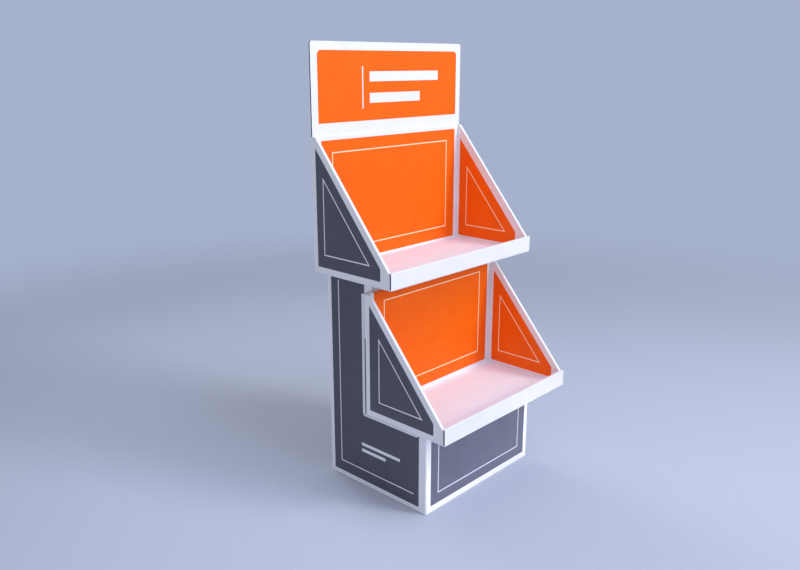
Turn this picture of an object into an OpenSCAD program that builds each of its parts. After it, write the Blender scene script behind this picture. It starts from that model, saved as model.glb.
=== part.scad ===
// Floor display stand of folded corrugated board: a stepped column that carries two open trays, one
// above the other, and a header card. Every piece is one sheet, cut, creased and folded.
// Millimetres. +X is to the right seen from the front, the front faces -Y, and the origin is on the
// floor under the middle of the whole stand.

/* [Board] */
// Thickness of the corrugated board
board_t = 5; // [4:0.5:6]
// Space left between the two layers of a rolled-over wall
fold_gap = 2; // [1:0.5:3]
// Outer radius at each of the two creases of a rolled-over edge
crease_r = 2.5; // [1:0.5:3.5]
// Inner radius of a single right-angle fold
bend_inner_r = 1; // [0.5:0.5:3]
// Clearance between pieces that slide together
fit_gap = 0.5; // [0.3:0.1:1]
// Hairline left where two folded walls meet in a corner
corner_seam = 0.6; // [0.4:0.1:1.5]

/* [Column] */
// Width of the column
column_w = 600; // [500:10:680]
// Depth of the column, front to back
column_d = 480; // [440:10:560]
// Height of the low front part
base_h = 313; // [240:1:400]
// Reach of the flaps folded in round the low front part
base_flap_d = 60; // [40:5:80]
// Width of the flap that the sleeve is glued by
glue_flap_w = 35; // [25:5:50]

/* [Trays] */
// Width of the lower tray
lower_tray_w = 700; // [640:10:740]
// Width of the upper tray and of the header
upper_tray_w = 768; // [700:2:840]
// Depth of the lower tray
lower_tray_d = 360; // [320:5:380]
// Depth of the upper tray
upper_tray_d = 370; // [320:5:400]
// Height of the lower tray at the back
lower_tray_h = 440; // [380:5:500]
// Height of the upper tray at the back
upper_tray_h = 464; // [400:2:520]
// Height of the lip along the front of both trays
lip_h = 60; // [40:1:80]
// Level stretch at the top of a side wall, before it slopes
shoulder_d = 23; // [18:1:40]
// How far the back edge of a side wall is cut back low down
relief_d = 4; // [1:0.5:5]
// Height of that cut
relief_h = 280; // [150:5:320]
// How far the lower tray stands out in front of the column
lower_overhang = 120; // [80:5:140]
// How far the upper tray stops short of the back of the column
upper_setback = 28; // [0:1:40]
// Free height between the top of the lower tray and the upper one
tray_space = 45; // [10:1:80]
// Space between the lower tray and the back of its saddle
saddle_gap = 1; // [0.5:0.5:3]
// Inner radius of the fold between the deck and the back of the saddle
saddle_bend_r = 5; // [1:0.5:8]

/* [Braces] */
// Distance between the two cross braces
brace_spacing = 300; // [200:10:360]
// Clearance on each side of a brace in its slot
slot_clear = 0.4; // [0.2:0.1:0.8]

/* [Header] */
// Height of the header above the tray
header_h = 306; // [220:2:360]
// Radius of its top corners
header_corner_r = 10; // [4:1:25]
// Width of the tongue that drops into the tray's back wall
tongue_w = 640; // [500:10:660]
// Depth of that tongue
tongue_h = 180; // [100:5:300]
// Slanted lead-in at the tongue's corners
tongue_lead = 25; // [10:1:40]

/* [Hidden] */
$fn = 48;
// Overlap that keeps cuts clean
eps = 1;

// Board sections
double_t = 2 * board_t + fold_gap;
bend_r = board_t + bend_inner_r;
fold_drop = bend_r + 1;
corner_clear = bend_r + 2;
pocket_gap = board_t + 2 * fit_gap;
// A tray's floor is two layers: its own and the flaps of the inner walls
floor_t = 2 * board_t;

// Levels, from the floor up
deck_z = base_h;
lower_z = deck_z + board_t;
column_h = lower_z + lower_tray_h + tray_space;
upper_z = column_h;
header_z = upper_z + upper_tray_h;

// Places from front to back, with the whole depth centred on the origin
total_d = column_d + lower_overhang;
front_y = -total_d / 2;
back_y = total_d / 2;
column_front_y = back_y - column_d;
riser_y = front_y + lower_tray_d + saddle_gap + double_t;
upper_front_y = back_y - upper_setback - upper_tray_d;
pocket_y = back_y - upper_setback - board_t - pocket_gap / 2;
brace_y = (column_front_y + board_t + riser_y) / 2;

// Inner support in the tall back part
core_w = column_w - 2 * (board_t + fit_gap);
core_d = back_y - board_t - fit_gap - riser_y;
core_flap_d = core_d / 2 - fit_gap;

// Where the side walls of a tray start sloping
slope_front = double_t + corner_seam;

// Turns a flat drawing in (depth, height) into a solid of the given width, centred on X
module across(width) {
    rotate([90, 0, 90]) linear_extrude(width, center = true) children();
}

// Turns a flat drawing in (width, height) into a solid of the given depth, starting at y = 0
module backward(depth) {
    translate([0, depth, 0]) rotate([90, 0, 0]) linear_extrude(depth) children();
}

// Rectangle from the origin with its two corners at height 0 rounded
module round_bottomed(w, h, r) {
    for (x = [r, w - r]) translate([x, r]) circle(r);
    translate([r, 0]) square([w - 2 * r, h]);
    translate([0, r]) square([w, h - r]);
}

// Section of a rolled-over wall: thickness t, height h, both top creases rounded
module rolled_section(t, h) {
    translate([0, h]) mirror([0, 1]) round_bottomed(t, h, crease_r);
}

// Block with its top left corner at the origin and rounded
module corner_block(reach, drop, r) {
    translate([r, -r]) circle(r);
    translate([r, -drop]) square([reach - r, drop]);
    translate([0, -drop]) square([reach, drop - r]);
}

// Section of one right-angle fold: down by drop and inward by reach from the outer corner
module fold_section(reach, drop, inner_r = bend_inner_r) {
    difference() {
        corner_block(reach, drop, inner_r + board_t);
        translate([board_t, -board_t]) corner_block(reach, drop, inner_r);
    }
}

// Walls of a folded tube seen from above, centred, with rounded corner folds
module tube_plan(w, d) {
    difference() {
        rounded_plan(w, d, bend_r);
        rounded_plan(w - 2 * board_t, d - 2 * board_t, bend_inner_r);
    }
}

module rounded_plan(w, d, r) {
    for (x = [-1, 1], y = [-1, 1]) translate([x * (w / 2 - r), y * (d / 2 - r)]) circle(r);
    square([w - 2 * r, d], center = true);
    square([w, d - 2 * r], center = true);
}

// Flap folded in from the top of a wall that faces -Y; past the fold, mitred ends run in at 45 degrees
module wall_flap(length, reach, drop = fold_drop, mitre_left = true, mitre_right = true) {
    run = reach - bend_r;
    left = mitre_left ? run : 0;
    right = mitre_right ? run : 0;
    intersection() {
        across(length) fold_section(reach, drop);
        translate([0, 0, -drop]) linear_extrude(drop) polygon([
            [-length / 2, 0], [length / 2, 0], [length / 2, bend_r], [length / 2 - right, reach],
            [left - length / 2, reach], [-length / 2, bend_r]
        ]);
    }
}

// Outer sleeve: low in front and tall behind, with flaps turned in round the low part
module base_column() {
    side_flap_l = riser_y - fit_gap - column_front_y - corner_clear;
    color("#4A4C5B") union() {
        difference() {
            translate([0, (column_front_y + back_y) / 2, 0])
                linear_extrude(column_h) tube_plan(column_w, column_d);
            translate([-column_w / 2 - eps, column_front_y - eps, base_h])
                cube([column_w + 2 * eps, riser_y - column_front_y + eps, column_h]);
            flap_bed();
        }
        translate([0, column_front_y, base_h])
            wall_flap(column_w - 2 * corner_clear, base_flap_d);
        for (side = [0, 1]) mirror([side, 0, 0])
            translate([-column_w / 2, riser_y - fit_gap - side_flap_l / 2, base_h])
                rotate(-90) wall_flap(side_flap_l, base_flap_d, mitre_left = false);
        glue_flap();
    }
    // Room for the folds at the top of the low walls
    module flap_bed() {
        z = base_h - fold_drop;
        translate([corner_clear - column_w / 2, column_front_y - eps, z])
            cube([column_w - 2 * corner_clear, board_t + bend_inner_r + eps, fold_drop + eps]);
        translate([-column_w / 2 - eps, column_front_y + corner_clear, z])
            cube([column_w + 2 * eps, side_flap_l, fold_drop + eps]);
    }
    // Flap of the front wall, glued inside the left wall
    module glue_flap() {
        translate([board_t - column_w / 2, column_front_y + board_t, 0])
            cube([board_t, glue_flap_w, base_h - 2 * fold_drop]);
    }
}

// Full-height inner tube behind the step, closed at the top by two pairs of flaps
module riser_core() {
    low_top = column_h - board_t - fit_gap;
    color("#F4F4F8") translate([0, riser_y + core_d / 2, 0]) {
        linear_extrude(low_top - fold_drop) tube_plan(core_w, core_d);
        for (turn = [0, 180]) rotate(turn) {
            translate([0, -core_d / 2, column_h])
                wall_flap(core_w - 2 * corner_clear, core_flap_d, fold_drop + board_t + fit_gap, false, false);
            translate([-core_w / 2, 0, low_top]) rotate(-90)
                wall_flap(core_d - 2 * corner_clear, core_flap_d, fold_drop, false, false);
        }
    }
}

// Upright partition along the base, slotted from the top for the cross braces
module brace_long() {
    length = column_w - 2 * (board_t + fit_gap);
    step = base_flap_d - board_t;
    color("#C9A77C") translate([0, brace_y - board_t / 2, 0]) backward(board_t) difference() {
        translate([-length / 2, 0]) square([length, base_h]);
        for (side = [-1, 1]) {
            translate([side * length / 2 - step, base_h - board_t - fit_gap]) square([2 * step, 2 * board_t]);
            translate([side * brace_spacing / 2, 0]) half_slot(base_h / 2 - slot_clear);
        }
    }
}

// Open slot upward from the given height
module half_slot(z) {
    slot_w = board_t + 2 * slot_clear;
    translate([-slot_w / 2, z]) square([slot_w, base_h]);
}

// Upright partition from the front wall to the inner tube, slotted from below
module brace_cross(side) {
    start = column_front_y + board_t + fit_gap;
    step = base_flap_d - board_t;
    color("#C9A77C") translate([side * brace_spacing / 2, 0, 0]) across(board_t) difference() {
        translate([start, 0]) square([riser_y - fit_gap - start, base_h]);
        translate([start - eps, base_h - board_t - fit_gap]) square([step + eps, 2 * board_t]);
        translate([brace_y, base_h]) mirror([0, 1]) half_slot(base_h / 2 - slot_clear);
    }
}

// L-shaped support: a deck on the base, folded up behind the tray and rolled over at the top
module tray_saddle() {
    layer_y = riser_y - double_t;
    layer_z = lower_z + saddle_bend_r;
    layer_h = lower_z + lower_tray_h - layer_z;
    color("#F4F4F8") across(lower_tray_w) {
        translate([riser_y, deck_z]) rotate(180)
            fold_section(riser_y - column_front_y, board_t + lower_tray_h / 2, saddle_bend_r);
        translate([layer_y, layer_z]) difference() {
            rolled_section(double_t, layer_h);
            translate([board_t, -eps]) square([fold_gap, layer_h - board_t + eps]);
        }
    }
}

// Long bar under a straight folded edge from p to q in (depth, height), both creases rounded
module edge_bar(p, q) {
    reach = 2 * (p[1] + q[0] + q[1]);
    translate([0, (p[0] + q[0]) / 2, (p[1] + q[1]) / 2])
        rotate([atan2(q[1] - p[1], q[0] - p[0]) + 90, 0, 0]) linear_extrude(2 * reach, center = true)
            translate([-double_t / 2, -reach]) rolled_section(double_t, reach);
}

// Side wall of a tray of depth d and height h: two layers joined by a fold along the sloping top edge
module tray_side(d, h) {
    slope_back = d - shoulder_d;
    foot = [slope_front, lip_h];
    knee = [slope_back, h];
    rise = (h - lip_h) / (slope_back - slope_front);
    inner_drop = board_t * sqrt(1 + rise * rise);
    inner_top = h - board_t;
    difference() {
        intersection() {
            across(double_t) polygon([
                [slope_front, 0], [d - relief_d, 0], [d - relief_d, relief_h],
                [d, relief_h + relief_d], [d, h], knee, foot
            ]);
            edge_bar(foot, knee);
            edge_bar(knee, [d, h]);
        }
        across(fold_gap) polygon([
            [slope_front - eps, board_t], [d + eps, board_t], [d + eps, inner_top],
            [slope_front + (inner_top - lip_h + inner_drop) / rise, inner_top],
            [slope_front - eps, lip_h - inner_drop - eps * rise]
        ]);
    }
}

// Wall across a tray, rolled over at the top, with a space of the given width between its layers
module tray_cross_wall(w, h, gap) {
    across(w) difference() {
        rolled_section(2 * board_t + gap, h);
        translate([board_t, board_t]) square([gap, h - 2 * board_t]);
    }
}

// Open tray with rolled-over walls; back_gap is the space between the layers of its back wall
module tray(w, d, h, back_gap) {
    inside_w = w - 2 * double_t;
    back_t = 2 * board_t + back_gap;
    intersection() {
        union() {
            translate([-w / 2, 0, 0]) cube([w, d, board_t]);
            translate([-inside_w / 2, double_t, 0]) cube([inside_w, d - double_t - back_t, floor_t]);
            tray_cross_wall(w, lip_h, fold_gap);
            translate([0, d - back_t, 0]) tray_cross_wall(inside_w - 2 * corner_seam, h, back_gap);
            for (side = [-1, 1]) translate([side * (w - double_t) / 2, 0, 0]) tray_side(d, h);
        }
        translate([-w / 2, 0, 0]) backward(d) round_bottomed(w, h, bend_r);
        across(w) round_bottomed(d, h, bend_r);
    }
}

module lower_tray() {
    color("#FF6F1E") translate([0, front_y, lower_z])
        tray(lower_tray_w, lower_tray_d, lower_tray_h, fold_gap);
}

// The upper tray has a slot along the top of its back wall for the header's tongue
module upper_tray() {
    mouth_w = tongue_w + 2 * fit_gap;
    color("#FF6F1E") difference() {
        translate([0, upper_front_y, upper_z]) tray(upper_tray_w, upper_tray_d, upper_tray_h, pocket_gap);
        translate([-mouth_w / 2, pocket_y - pocket_gap / 2, header_z - 2 * board_t])
            cube([mouth_w, pocket_gap, 3 * board_t]);
    }
}

// Header card: its shoulders rest on the tray and its tongue stands in the back wall
module header_card() {
    lead_h = tongue_h - tongue_lead;
    color("#FF6F1E") translate([0, pocket_y - board_t / 2, header_z]) backward(board_t) {
        translate([-upper_tray_w / 2, header_h]) mirror([0, 1])
            round_bottomed(upper_tray_w, header_h, header_corner_r);
        polygon([
            [-tongue_w / 2, 0], [-tongue_w / 2, -lead_h], [tongue_lead - tongue_w / 2, -tongue_h],
            [tongue_w / 2 - tongue_lead, -tongue_h], [tongue_w / 2, -lead_h], [tongue_w / 2, 0]
        ]);
    }
}

base_column();
riser_core();
brace_long();
brace_cross(-1);  // brace_cross_left
brace_cross(1);  // brace_cross_right
tray_saddle();
lower_tray();
upper_tray();
header_card();
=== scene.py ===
"""Dresses a floor display stand of folded corrugated board: print, board finishes, light and camera."""
import math

import bmesh
import bpy
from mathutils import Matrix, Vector


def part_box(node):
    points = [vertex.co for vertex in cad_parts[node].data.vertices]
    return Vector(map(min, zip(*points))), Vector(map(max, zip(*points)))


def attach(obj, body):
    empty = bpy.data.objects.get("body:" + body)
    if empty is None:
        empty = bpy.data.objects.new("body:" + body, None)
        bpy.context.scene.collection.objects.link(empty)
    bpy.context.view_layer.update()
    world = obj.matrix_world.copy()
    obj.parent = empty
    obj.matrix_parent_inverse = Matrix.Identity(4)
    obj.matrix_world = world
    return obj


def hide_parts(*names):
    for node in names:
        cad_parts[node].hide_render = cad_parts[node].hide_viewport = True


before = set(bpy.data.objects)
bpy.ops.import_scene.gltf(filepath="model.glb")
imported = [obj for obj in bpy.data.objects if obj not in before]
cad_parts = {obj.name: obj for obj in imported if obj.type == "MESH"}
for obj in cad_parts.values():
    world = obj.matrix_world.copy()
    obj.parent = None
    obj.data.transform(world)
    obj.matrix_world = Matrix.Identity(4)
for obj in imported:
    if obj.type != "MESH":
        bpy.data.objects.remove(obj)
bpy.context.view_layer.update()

# Lengths are in metres, as in the frame
MM = 0.001
X, Y, Z = 0, 1, 2
AXES = [Vector((1, 0, 0)), Vector((0, 1, 0)), Vector((0, 0, 1))]

# Board, as it was cut and folded
BOARD = 5 * MM
FLUTE_PITCH = 6.5 * MM
# Space between the two layers of a rolled-over wall
FOLD_GAP = 2 * MM
DOUBLE_WALL = 2 * BOARD + FOLD_GAP
# Space between the layers of the upper tray's back wall, where the header's tongue stands
POCKET_GAP = 6 * MM
POCKET_WALL = 2 * BOARD + POCKET_GAP
# Hairline where two folded walls meet in a corner
CORNER_SEAM = 0.6 * MM

# Both trays
LIP_H = 60 * MM
# Level stretch at the top of a side wall, before it slopes
SHOULDER = 23 * MM
# How far the back edge of a side wall is cut back low down
RELIEF = 4 * MM

# Width of the thin printed lines
LINE = 4 * MM

# UV map of a sheet: across and along its flutes, or along and through the board on a cut edge
SHEET_MAP = "sheet"

# Tolerances for reading and cutting the sheets' meshes
WELD = 0.001 * MM
CUT_SNAP = 0.001 * MM
ON_PANEL = 0.1 * MM
FLAT = math.radians(0.5)
SHARP = math.radians(30)
# Share of a face's normal along an axis at which it looks straight, mainly or at all that way
STRAIGHT, MAINLY, AT_ALL = 0.9999, 0.7, 0.05


# Colours and nodes


def colour(code):
    """Linear RGBA of an sRGB hex colour such as #FF8000."""
    shares = [int(code[i:i + 2], 16) / 255 for i in (1, 3, 5)]
    return [s / 12.92 if s <= 0.04045 else ((s + 0.055) / 1.055) ** 2.4 for s in shares] + [1.0]


def add(tree, kind, inputs=None, **settings):
    """Adds a node: settings are its properties, and each input takes a value or another node's output."""
    made = tree.nodes.new(kind)
    for name, value in settings.items():
        setattr(made, name, value)
    for name, value in (inputs or {}).items():
        if isinstance(value, bpy.types.NodeSocket):
            tree.links.new(value, made.inputs[name])
        else:
            made.inputs[name].default_value = value
    return made


def new_material(name):
    """An empty material with its output, as (material, tree, output)."""
    material = bpy.data.materials.new(name)
    material.use_nodes = True
    tree = material.node_tree
    tree.nodes.clear()
    return material, tree, add(tree, "ShaderNodeOutputMaterial")


# Finishes

# Sockets of a Mix node for colours: its two inputs and its output
MIX_A, MIX_B, MIX_OUT = 6, 7, 2
# Length of one wave of a Wave texture at a scale of 1
WAVE_LENGTH = 2 * math.pi / 20

# Relief of the board's face: panels that aren't quite flat, and paper grain. Real grain is about 0.2 mm
# wide, too fine to show, so it is drawn six times as coarse.
SLACK_W, SLACK_H = 300 * MM, 1.2 * MM
GRAIN_W, GRAIN_H = 1.2 * MM, 0.004 * MM
# How far the flutes show through coated, printed and bare liner
COATED_FLUTES, PRINTED_FLUTES, BARE_FLUTES = 0.02 * MM, 0.025 * MM, 0.04 * MM

# Clouds in the film of coat or ink: their width, the noise levels between which they change the tone and
# the gloss, and how much they change the roughness either way
CLOUD_W = 90 * MM
TONE_LOW, TONE_HIGH = 0.35, 0.75
GLOSS_LOW, GLOSS_HIGH = 0.3, 0.7
GLOSS_SWING = 0.05


def board_surface(tree, flutes_h):
    """Bump of lined corrugated board: slack panels, flutes showing through faintly, and paper grain."""
    place = add(tree, "ShaderNodeTexCoord").outputs["Object"]
    sheet = add(tree, "ShaderNodeUVMap", uv_map=SHEET_MAP).outputs["UV"]
    slack = add(tree, "ShaderNodeTexNoise", {"Vector": place, "Scale": 1 / SLACK_W, "Detail": 1.0})
    flutes = add(tree, "ShaderNodeTexWave", {
        "Vector": sheet, "Scale": WAVE_LENGTH / FLUTE_PITCH, "Distortion": 0.0,
    })
    grain = add(tree, "ShaderNodeTexNoise", {"Vector": place, "Scale": 1 / GRAIN_W, "Detail": 3.0})
    normal = None
    for pattern, height in ((slack, SLACK_H), (flutes, flutes_h), (grain, GRAIN_H)):
        inputs = {"Height": pattern.outputs[0], "Distance": height, "Strength": 1.0}
        if normal:
            inputs["Normal"] = normal
        normal = add(tree, "ShaderNodeBump", inputs).outputs["Normal"]
    return place, normal


def printed_board(name, tone, deep_tone, roughness, shine, flutes_h):
    """Liner under its coat or ink: an even film, slightly cloudy, that rides over the flutes."""
    material, tree, out = new_material(name)
    place, normal = board_surface(tree, flutes_h)
    cloud = add(tree, "ShaderNodeTexNoise", {"Vector": place, "Scale": 1 / CLOUD_W, "Detail": 4.0})
    share = add(tree, "ShaderNodeMapRange", {
        "Value": cloud.outputs[0], "From Min": TONE_LOW, "From Max": TONE_HIGH,
        "To Min": 0.0, "To Max": 1.0,
    })
    film = add(tree, "ShaderNodeMix", {
        0: share.outputs[0], MIX_A: colour(tone), MIX_B: colour(deep_tone),
    }, data_type="RGBA")
    gloss = add(tree, "ShaderNodeMapRange", {
        "Value": cloud.outputs[0], "From Min": GLOSS_LOW, "From Max": GLOSS_HIGH,
        "To Min": roughness - GLOSS_SWING, "To Max": roughness + GLOSS_SWING,
    })
    shader = add(tree, "ShaderNodeBsdfPrincipled", {
        "Base Color": film.outputs[MIX_OUT], "Roughness": gloss.outputs[0], "IOR": 1.5,
        "Specular IOR Level": shine, "Normal": normal,
    })
    tree.links.new(shader.outputs[0], out.inputs["Surface"])
    return material


def cut_edge(name, hollow, medium, liner):
    """Die-cut edge of corrugated board: the wavy medium between two liners, over hollows darkened with
    painted shade.
    """
    # Shares of the board's thickness: how far the medium's waves reach out from its middle
    wave_reach = 0.34
    # Half the medium's own thickness, and where its soft edge ends
    medium_half, medium_end = 0.06, 0.12
    # Where a liner starts, out from the board's middle, and where its soft edge ends
    liner_start, liner_full = 0.40, 0.43
    hollow_depth = 0.5 * MM
    material, tree, out = new_material(name)
    edge = add(tree, "ShaderNodeUVMap", uv_map=SHEET_MAP).outputs["UV"]
    parts = add(tree, "ShaderNodeSeparateXYZ", {"Vector": edge})
    turn = add(tree, "ShaderNodeMath", {
        0: parts.outputs["X"], 1: 2 * math.pi / FLUTE_PITCH,
    }, operation="MULTIPLY")
    wave = add(tree, "ShaderNodeMath", {0: turn.outputs[0]}, operation="SINE")
    above = add(tree, "ShaderNodeMath", {
        0: wave.outputs[0], 1: -wave_reach, 2: parts.outputs["Y"],
    }, operation="MULTIPLY_ADD")
    off = add(tree, "ShaderNodeMath", {0: above.outputs[0]}, operation="ABSOLUTE")
    in_medium = add(tree, "ShaderNodeMapRange", {
        "Value": off.outputs[0], "From Min": medium_half, "From Max": medium_end,
        "To Min": 1.0, "To Max": 0.0,
    })
    side = add(tree, "ShaderNodeMath", {0: parts.outputs["Y"]}, operation="ABSOLUTE")
    in_liner = add(tree, "ShaderNodeMapRange", {
        "Value": side.outputs[0], "From Min": liner_start, "From Max": liner_full,
        "To Min": 0.0, "To Max": 1.0,
    })
    # The hollows' dark colour is painted shade inside the open flutes
    inside = add(tree, "ShaderNodeMix", {
        0: in_medium.outputs[0], MIX_A: colour(hollow), MIX_B: colour(medium),
    }, data_type="RGBA")
    whole = add(tree, "ShaderNodeMix", {
        0: in_liner.outputs[0], MIX_A: inside.outputs[MIX_OUT], MIX_B: colour(liner),
    }, data_type="RGBA")
    paper = add(tree, "ShaderNodeMath", {
        0: in_medium.outputs[0], 1: in_liner.outputs[0],
    }, operation="MAXIMUM")
    bump = add(tree, "ShaderNodeBump", {
        "Height": paper.outputs[0], "Distance": hollow_depth, "Strength": 1.0,
    })
    shader = add(tree, "ShaderNodeBsdfPrincipled", {
        "Base Color": whole.outputs[MIX_OUT], "Roughness": 0.85, "IOR": 1.45,
        "Normal": bump.outputs["Normal"],
    })
    tree.links.new(shader.outputs[0], out.inputs["Surface"])
    return material


# Clay-coated liner: a smooth bright white with a soft sheen, hardly ribbed by the flutes
WHITE_LINER = printed_board(
    "clay_coated_white_liner", "#F2F2F4", "#ECECF0", roughness=0.55, shine=0.4, flutes_h=COATED_FLUTES,
)
# Slate offset print under a satin varnish: deep and even, and paler where it turns towards a light
SLATE_INK = printed_board(
    "slate_offset_print", "#454653", "#40414E", roughness=0.40, shine=0.8, flutes_h=PRINTED_FLUTES,
)
# The same slate ink with painted light: a lighter tint for the column's front field, standing in for the
# light and sheen on that face
SLATE_INK_PAINTED_LIGHT = printed_board(
    "slate_offset_print_painted_light", "#565769", "#515264", roughness=0.40, shine=0.8, flutes_h=PRINTED_FLUTES,
)
# Orange offset print: a dense warm film, nearly matt, so that it keeps its colour in strong light
ORANGE_INK = printed_board(
    "orange_offset_print", "#FB6C0E", "#F6670A", roughness=0.5, shine=0.15, flutes_h=PRINTED_FLUTES,
)
# Cream offset print, for the thin lines on the orange: a warmer and softer white than the bare coat
CREAM_INK = printed_board(
    "cream_offset_print", "#FFE6BE", "#FAE0B6", roughness=0.5, shine=0.2, flutes_h=PRINTED_FLUTES,
)
# Kraft liner, for the hidden braces: bare brown paper, dull and cloudy, ribbed most by the flutes
KRAFT_LINER = printed_board(
    "kraft_liner", "#A88459", "#9A774D", roughness=0.75, shine=0.3, flutes_h=BARE_FLUTES,
)
# Die-cut edge: paper greyed partly with painted shade, round hollows darkened with painted shade, which
# reads as a thin dark line from a step away
CUT_EDGE = cut_edge("die_cut_board_edge_painted_shade", hollow="#26262C", medium="#85838A", liner="#A9A8AF")


# Sheets and their print


def panel(axis, place, facing):
    """Picks the faces of one flat side: its place along an axis, and which way it faces there."""
    def picks(face):
        level = face.calc_center_median()[axis]
        return face.normal[axis] * facing > STRAIGHT and abs(level - place) < ON_PANEL
    return picks


def past(axis, place, facing):
    """Picks the faces that lie past a place along an axis and look that way, flat or round."""
    def picks(face):
        level = face.calc_center_median()[axis]
        return face.normal[axis] * facing > AT_ALL and (level - place) * facing > 0
    return picks


def between(axis, low, high):
    """The two straight edges that keep a printed shape between two places along an axis."""
    return [(AXES[axis] * low, AXES[axis]), (AXES[axis] * high, -AXES[axis])]


def around(axis, middle, width):
    """The same for a shape of a given width about its middle."""
    return between(axis, middle - width / 2, middle + width / 2)


def moved_in(shape, depth):
    """The same shape with all its edges moved inwards."""
    return [(point + inward * depth, inward) for point, inward in shape]


class Sheet:
    """A copy of one folded sheet, whose panels take print and other finishes."""

    def __init__(self, node, finish, flutes_upright=True):
        self.node = node
        self.mesh = bmesh.new()
        self.mesh.from_mesh(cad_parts[node].data)
        self.finishes = [finish]
        self.flutes_upright = flutes_upright
        self.cuts = []
        bmesh.ops.remove_doubles(self.mesh, verts=self.mesh.verts, dist=WELD)
        for face in self.mesh.faces:
            face.material_index = 0
        self.flatten()

    def flatten(self):
        """Joins the triangles of each flat panel, up to the edges of its print."""
        bmesh.ops.dissolve_limit(
            self.mesh, angle_limit=FLAT, verts=self.mesh.verts, edges=self.mesh.edges, delimit={"MATERIAL"},
        )

    def number(self, finish):
        """Where a finish stands in the piece's list, which it joins if it is new."""
        if finish not in self.finishes:
            self.finishes.append(finish)
        return self.finishes.index(finish)

    def faces_in(self, picks, shape):
        """The picked faces that lie inside a shape."""
        found = []
        for face in self.mesh.faces:
            middle = face.calc_center_median()
            if picks(face) and all((middle - point).dot(inward) > 0 for point, inward in shape):
                found.append(face)
        return found

    def paint(self, picks, shape, finish):
        """Cuts the picked faces along a shape's edges and gives the finish to what lies inside them."""
        for done, (point, inward) in enumerate(shape):
            faces = self.faces_in(picks, shape[:done])
            edges = {edge for face in faces for edge in face.edges}
            corners = {corner for face in faces for corner in face.verts}
            bmesh.ops.bisect_plane(
                self.mesh, geom=faces + list(edges) + list(corners), dist=CUT_SNAP,
                plane_co=point, plane_no=inward,
            )
        number = self.number(finish)
        for face in self.faces_in(picks, shape):
            face.material_index = number
        self.flatten()

    def paint_line(self, picks, shape, finish, inside):
        """Draws a thin closed line along a shape's edges, over the finish that lies inside it."""
        self.paint(picks, moved_in(shape, -LINE / 2), finish)
        self.paint(picks, moved_in(shape, LINE / 2), inside)

    def paint_cut(self, picks, shape, across, through, middle):
        """Marks a die-cut edge.

        across is the axis that it runs along, or None where it runs with the flutes; through is the
        axis through the board, and middle is the board's middle there.
        """
        self.paint(picks, shape, CUT_EDGE)
        self.cuts.append((picks, shape, across, through, middle))

    def lay_grain(self):
        """Maps each panel across and along its flutes, and each cut edge along and through its board."""
        grain = self.mesh.loops.layers.uv.new(SHEET_MAP)
        for face in self.mesh.faces:
            flat = abs(face.normal.z) > MAINLY
            sideways = not self.flutes_upright and abs(face.normal.x) > MAINLY
            run = AXES[Y] if flat or sideways else AXES[Z]
            across = face.normal.cross(run)
            for loop in face.loops:
                loop[grain].uv = (loop.vert.co.dot(across), loop.vert.co.dot(run))
        for picks, shape, across, through, middle in self.cuts:
            for face in self.faces_in(picks, shape):
                for loop in face.loops:
                    place = 0.0 if across is None else loop.vert.co[across]
                    loop[grain].uv = (place, (loop.vert.co[through] - middle) / BOARD)

    def place(self, name, slot):
        """Makes the piece, which stands for its node."""
        self.lay_grain()
        for face in self.mesh.faces:
            face.smooth = True
        for edge in self.mesh.edges:
            edge.smooth = edge.calc_face_angle(0) < SHARP
        data = bpy.data.meshes.new(name)
        self.mesh.to_mesh(data)
        self.mesh.free()
        for finish in self.finishes:
            data.materials.append(finish)
        piece = bpy.data.objects.new(name, data)
        bpy.context.scene.collection.objects.link(piece)
        even = piece.modifiers.new("flat_panels", "WEIGHTED_NORMAL")
        even.keep_sharp = True
        split = piece.modifiers.new("even_triangles", "TRIANGULATE")
        split.quad_method = "BEAUTY"
        split.ngon_method = "BEAUTY"
        split.keep_custom_normals = True
        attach(piece, "root")
        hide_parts(self.node)


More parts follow.
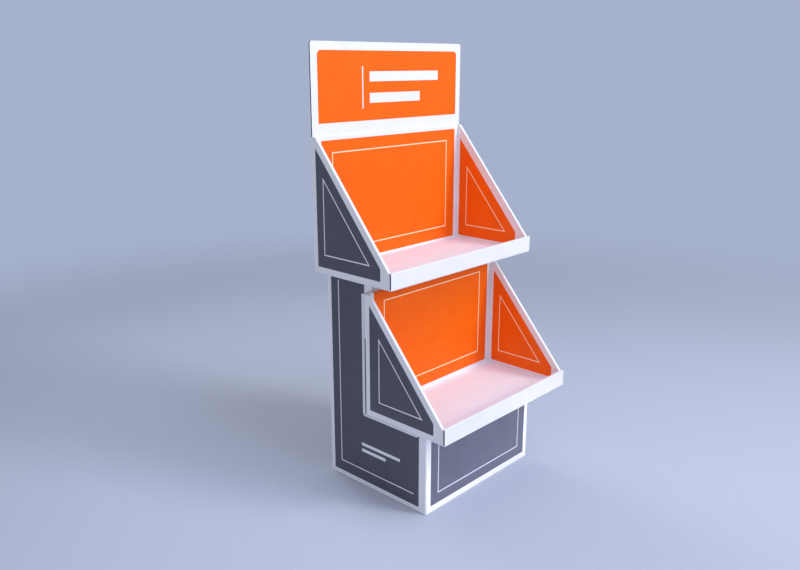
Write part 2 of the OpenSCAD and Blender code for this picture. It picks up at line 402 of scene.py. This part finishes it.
def dress_column():
    """Outer sleeve: bordered slate fields, a frame in front, and an open line and two bars on each side."""
    column = Sheet("base_column", WHITE_LINER)
    lo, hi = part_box("base_column")
    step_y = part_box("riser_core")[0].y
    deck_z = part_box("tray_saddle")[0].z
    # White borders round the slate fields of the sides
    foot, side_top, back_border = 18 * MM, 19 * MM, 20 * MM
    front_border, riser_border = 34 * MM, 38 * MM
    # The open line's insets; then where the bars start, the middle of the lower one, and their height
    line_back, line_foot, line_front, line_top = 58 * MM, 60.5 * MM, 58 * MM, 38 * MM
    bar_start, bar_z, bar_h = 167 * MM, 140 * MM, 12 * MM
    for hand in (-1, 1):
        side = panel(X, hand * hi.x, hand)
        column.paint(side, between(Y, lo.y + front_border, hi.y - back_border)
                     + between(Z, foot, deck_z - side_top), SLATE_INK)
        column.paint(side, between(Y, step_y + riser_border, hi.y - back_border)
                     + between(Z, foot, hi.z - back_border), SLATE_INK)
        upright_y = hi.y - line_back
        column.paint(side, around(Y, upright_y, LINE)
                     + between(Z, line_foot - LINE / 2, hi.z - line_top), WHITE_LINER)
        column.paint(side, between(Y, lo.y + line_front, upright_y)
                     + around(Z, line_foot, LINE), WHITE_LINER)
        # Both sides' bars start at the end that is on the left for someone who faces that side
        for row, length in ((1, 190 * MM), (0, 120 * MM)):
            z = bar_z + 2 * row * bar_h
            start = hi.y - bar_start if hand < 0 else lo.y + bar_start
            reach = start + hand * length
            column.paint(side, between(Y, min(start, reach), max(start, reach))
                         + around(Z, z, bar_h), WHITE_LINER)
        middle = hand * (hi.x - BOARD / 2)
        column.paint_cut(panel(Z, hi.z, 1), around(X, middle, BOARD), Y, X, middle)
    front = panel(Y, lo.y, -1)
    # Border of the front and back; then the frame's inset from the sides, and the heights of its ends
    border, frame_in, frame_foot, frame_top = 24 * MM, 64 * MM, 63 * MM, 265 * MM
    # The front field is painted paler than the sides' slate, as painted light on that face
    column.paint(front, between(X, lo.x + border, hi.x - border)
                 + between(Z, border, deck_z - border), SLATE_INK_PAINTED_LIGHT)
    column.paint_line(front, between(X, lo.x + frame_in, hi.x - frame_in)
                      + between(Z, frame_foot, frame_top), WHITE_LINER, SLATE_INK_PAINTED_LIGHT)
    back = panel(Y, hi.y, 1)
    column.paint(back, between(X, lo.x + border, hi.x - border)
                 + between(Z, foot, hi.z - border), SLATE_INK)
    column.paint_cut(panel(Z, hi.z, 1), between(Y, hi.y - BOARD, hi.y)
                     + between(X, lo.x + BOARD, hi.x - BOARD), X, Y, hi.y - BOARD / 2)
    column.place("base_column_printed", "slate_print_board")


def dress_tray(node, back_wall, inner_front, outer_line, inner_field, inner_line, back_field, back_line):
    """Tray with slate outside and orange inside, and a thin line inside each field.

    back_wall is the thickness of its back. Fields and lines are insets in millimetres: on a side wall from
    its rear, foot and slope, and on the back wall from its sides, foot and top. inner_front is the inset of
    the inner field from the front. A back field with none at the top runs over the top fold.
    """
    tray = Sheet(node, WHITE_LINER, flutes_upright=False)
    lo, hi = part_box(node)
    slope_foot = Vector((0, lo.y + DOUBLE_WALL + CORNER_SEAM, lo.z + LIP_H))
    slope_top = Vector((0, hi.y - SHOULDER, hi.z))
    slope_in = AXES[X].cross(slope_top - slope_foot).normalized() * -1
    # Insets of the slate fields, which both trays share: on the side walls, and on the back
    outer_field, outer_front, rear_field = (23, 25, 23), 48, (25, 25, 25)

    def triangle(rear, foot, slope, front=0):
        """Shape on a side wall: insets from its rear, foot and sloping edge, and from its front."""
        return (between(Y, lo.y + front * MM, hi.y - rear * MM) + between(Z, lo.z + foot * MM, hi.z)
                + [(slope_foot + slope_in * slope * MM, slope_in)])

    def rectangle(side, foot, top):
        """Shape on the back wall: insets from its sides, foot and top."""
        return (between(X, lo.x + side * MM, hi.x - side * MM)
                + between(Z, lo.z + foot * MM, hi.z - top * MM))

    for hand in (-1, 1):
        outside = panel(X, hand * hi.x, hand)
        tray.paint(outside, triangle(*outer_field, front=outer_front), SLATE_INK)
        tray.paint_line(outside, triangle(*outer_line), WHITE_LINER, SLATE_INK)
        inside = panel(X, hand * (hi.x - DOUBLE_WALL), -hand)
        tray.paint(inside, triangle(*inner_field, front=inner_front), ORANGE_INK)
        tray.paint_line(inside, triangle(*inner_line), CREAM_INK, ORANGE_INK)
        tray.paint_cut(outside, between(Y, lo.y, lo.y + BOARD) + between(Z, lo.z, lo.z + LIP_H),
                       None, Y, lo.y + BOARD / 2)
        for layer in (hi.x - BOARD / 2, hi.x - DOUBLE_WALL + BOARD / 2):
            middle = hand * layer
            board = around(X, middle, BOARD)
            tray.paint_cut(past(Y, hi.y - RELIEF - BOARD, 1),
                           between(Z, lo.z + BOARD, hi.z - BOARD) + board, Z, X, middle)
            tray.paint_cut(panel(Z, hi.z, 1), between(Y, hi.y - SHOULDER, hi.y) + board, Y, X, middle)
    back_in = panel(Y, hi.y - back_wall, -1)
    field = rectangle(*back_field)
    tray.paint(back_in, field, ORANGE_INK)
    top_inset = back_field[-1]
    if not top_inset:
        field_sides = field[:2]
        tray.paint(past(Z, hi.z - BOARD, 1), field_sides, ORANGE_INK)
    tray.paint_line(back_in, rectangle(*back_line), CREAM_INK, ORANGE_INK)
    tray.paint(panel(Y, hi.y, 1), rectangle(*rear_field), SLATE_INK)
    tray.place(node + "_printed", "orange_print_board")


def dress_header():
    """Header card: one orange field with round top corners, and plain bars beside a rule."""
    header = Sheet("header_card", WHITE_LINER)
    lo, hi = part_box("header_card")
    base_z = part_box("upper_tray")[1].z
    front = panel(Y, lo.y, -1)
    # White borders round the field, the radius of its top corners, and the turn from edge to edge there
    left, right, foot, top = 29 * MM, 25 * MM, 41 * MM, 28 * MM
    corner, step_degrees = 17 * MM, 15
    field = between(X, lo.x + left, hi.x - right) + between(Z, base_z + foot, hi.z - top)
    for hand, side in ((-1, left), (1, right)):
        centre = Vector((hand * (hi.x - side - corner), 0, hi.z - top - corner))
        for turn in range(step_degrees, 90, step_degrees):
            outward = Vector((hand * math.cos(math.radians(turn)), 0, math.sin(math.radians(turn))))
            field.append((centre + outward * corner, -outward))
    header.paint(front, field, ORANGE_INK)
    rule_x, rule_w, rule_foot, rule_top = lo.x + 236 * MM, 5 * MM, base_z + 83 * MM, base_z + 226 * MM
    header.paint(front, around(X, rule_x, rule_w) + between(Z, rule_foot, rule_top), WHITE_LINER)
    bar_x, bar_h = lo.x + 270 * MM, 34 * MM
    for middle, length in ((191 * MM, 364 * MM), (118 * MM, 262 * MM)):
        header.paint(front, between(X, bar_x, bar_x + length)
                     + around(Z, base_z + middle, bar_h), WHITE_LINER)
    middle_y = (lo.y + hi.y) / 2
    for hand in (-1, 1):
        header.paint_cut(panel(X, hand * hi.x, hand), between(Z, base_z, hi.z), None, Y, middle_y)
    header.paint_cut(past(Z, base_z + foot, 1), between(Y, lo.y, hi.y), X, Y, middle_y)
    header.place("header_card_printed", "orange_print_board")


def dress_saddle():
    """Saddle: white outside, slate on the side that the tray covers as painted shade in the slot behind the
    tray, and cut along its top.
    """
    saddle = Sheet("tray_saddle", WHITE_LINER)
    lo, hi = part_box("tray_saddle")
    # The slate here is painted shade: it darkens the slot that shows between the tray and the saddle
    saddle.paint(panel(Y, hi.y - DOUBLE_WALL, -1), between(X, lo.x, hi.x), SLATE_INK)
    for middle in (hi.y - DOUBLE_WALL + BOARD / 2, hi.y - BOARD / 2):
        saddle.paint_cut(panel(Z, hi.z, 1), around(Y, middle, BOARD), X, Y, middle)
    saddle.place("tray_saddle_white", "white_board")


dress_column()
dress_tray(
    "lower_tray", DOUBLE_WALL, inner_front=47, outer_line=(67, 66, 62), inner_field=(28, 24, 24),
    inner_line=(62, 70, 62), back_field=(34, 26, 0), back_line=(84, 74, 38),
)
dress_tray(
    "upper_tray", POCKET_WALL, inner_front=60, outer_line=(58, 70, 60), inner_field=(28, 20, 30),
    inner_line=(66, 66, 72), back_field=(33, 18, 15), back_line=(83, 66, 58),
)
dress_header()
dress_saddle()
Sheet("riser_core", WHITE_LINER).place("riser_core_white", "white_board")
for brace in ("brace_long", "brace_cross_left", "brace_cross_right"):
    Sheet(brace, KRAFT_LINER).place(brace + "_kraft", "kraft_board")


# Floor, light and camera, in metres and watts

FLOOR_R = 7.0
# Cut board never sits quite flush, and the gap leaves a thin shadow along its foot
FLOOR_GAP = 2 * MM
FADE_FROM, FADE_TO = 1.8, 5.0
FLOOR_TONE = "#BFC5D2"
BACKDROP = "#A6B1CC"
EVEN_LIGHT, EVEN_STRENGTH = "#DDE2F2", 0.5
STAND_MIDDLE = (0, 0, 0.75)

CAMERA_PLACE = Vector((-2.1305, -1.7736, 1.5082))
CAMERA_AIM = Vector((0, 0.2235, 0.6869))
CAMERA_LENS, CAMERA_SENSOR = 35.77, 36


def make_floor():
    """Plain pale floor, matt, that fades into the backdrop's colour away from the stand."""
    material, tree, out = new_material("pale_matt_floor")
    place = add(tree, "ShaderNodeTexCoord").outputs["Object"]
    away = add(tree, "ShaderNodeVectorMath", {0: place}, operation="LENGTH")
    fade = add(tree, "ShaderNodeMapRange", {
        "Value": away.outputs["Value"], "From Min": FADE_FROM, "From Max": FADE_TO,
    }, interpolation_type="SMOOTHSTEP")
    matt = add(tree, "ShaderNodeBsdfPrincipled", {
        "Base Color": colour(FLOOR_TONE), "Roughness": 0.7, "Specular IOR Level": 0.1,
    })
    clear = add(tree, "ShaderNodeBsdfTransparent")
    both = add(tree, "ShaderNodeMixShader", {0: fade.outputs[0], 1: matt.outputs[0], 2: clear.outputs[0]})
    tree.links.new(both.outputs[0], out.inputs["Surface"])
    mesh = bmesh.new()
    bmesh.ops.create_circle(mesh, cap_ends=True, segments=96, radius=FLOOR_R)
    bmesh.ops.translate(mesh, verts=mesh.verts, vec=(0, 0, -FLOOR_GAP))
    data = bpy.data.meshes.new("floor")
    mesh.to_mesh(data)
    mesh.free()
    data.materials.append(material)
    floor = bpy.data.objects.new("floor", data)
    bpy.context.scene.collection.objects.link(floor)


def make_world():
    """Even cool light all round; the camera, gloss and glass see the plain backdrop instead."""
    world = bpy.data.worlds.new("studio")
    world.use_nodes = True
    tree = world.node_tree
    tree.nodes.clear()
    ray = add(tree, "ShaderNodeLightPath")
    seen = add(tree, "ShaderNodeMath", {
        0: ray.outputs["Is Camera Ray"], 1: ray.outputs["Is Glossy Ray"],
    }, operation="MAXIMUM")
    seen = add(tree, "ShaderNodeMath", {
        0: seen.outputs[0], 1: ray.outputs["Is Transmission Ray"],
    }, operation="MAXIMUM")
    light = add(tree, "ShaderNodeBackground", {"Color": colour(EVEN_LIGHT), "Strength": EVEN_STRENGTH})
    backdrop = add(tree, "ShaderNodeBackground", {"Color": colour(BACKDROP), "Strength": 1.0})
    both = add(tree, "ShaderNodeMixShader", {
        0: seen.outputs[0], 1: light.outputs[0], 2: backdrop.outputs[0],
    })
    out = add(tree, "ShaderNodeOutputWorld")
    tree.links.new(both.outputs[0], out.inputs["Surface"])
    bpy.context.scene.world = world


def set_up(name, content, place, aim):
    """Sets a lamp or camera at a place, turned towards another."""
    holder = bpy.data.objects.new(name, content)
    holder.location = place
    holder.rotation_euler = (Vector(aim) - Vector(place)).to_track_quat("-Z", "Y").to_euler()
    bpy.context.scene.collection.objects.link(holder)
    return holder


def add_lamp(name, place, aim, size, power, tint, spread=180):
    """A soft rectangular lamp: size is its width and height, and spread is its beam in degrees."""
    lamp = bpy.data.lights.new(name, "AREA")
    lamp.shape = "RECTANGLE"
    lamp.size, lamp.size_y = size
    lamp.energy = power
    lamp.spread = math.radians(spread)
    lamp.color = colour(tint)[:3]
    set_up(name, lamp, place, aim)


def make_camera():
    """The photograph's viewpoint, found from the stand's own corners."""
    camera = bpy.data.cameras.new("camera")
    camera.sensor_width = CAMERA_SENSOR
    camera.lens = CAMERA_LENS
    bpy.context.scene.camera = set_up("camera", camera, CAMERA_PLACE, CAMERA_AIM)


make_floor()
make_world()
# Main light on the front, from high on the right
add_lamp("key", place=(2.95, -6.35, 4.0), aim=STAND_MIDDLE, size=(2.2, 2.2), power=263, tint="#FFFEFA")
# A low strip that lights the column's front, in the shade of the lower tray
add_lamp("low", place=(1.2, -4.2, 0.3), aim=(-0.06, -0.18, 0.13), size=(1.2, 0.2), power=0.77,
         tint="#EEF1FF", spread=6.5)
# A little light on the left side and on the back
add_lamp("fill", place=(-3.2, -0.8, 1.6), aim=STAND_MIDDLE, size=(2.4, 2.4), power=13, tint="#E8E8F8")
add_lamp("back", place=(0.3, 3.6, 2.0), aim=(0, 0, 0.95), size=(2.4, 2.4), power=16,
         tint="#F0F2FC", spread=70)
# Cool light from above, on the trays' floors and slopes
add_lamp("top", place=(0.3, -2.4, 4.4), aim=STAND_MIDDLE, size=(2.4, 2.4), power=111, tint="#D4DEFF")
make_camera()
bpy.context.scene.view_settings.view_transform = "Standard"
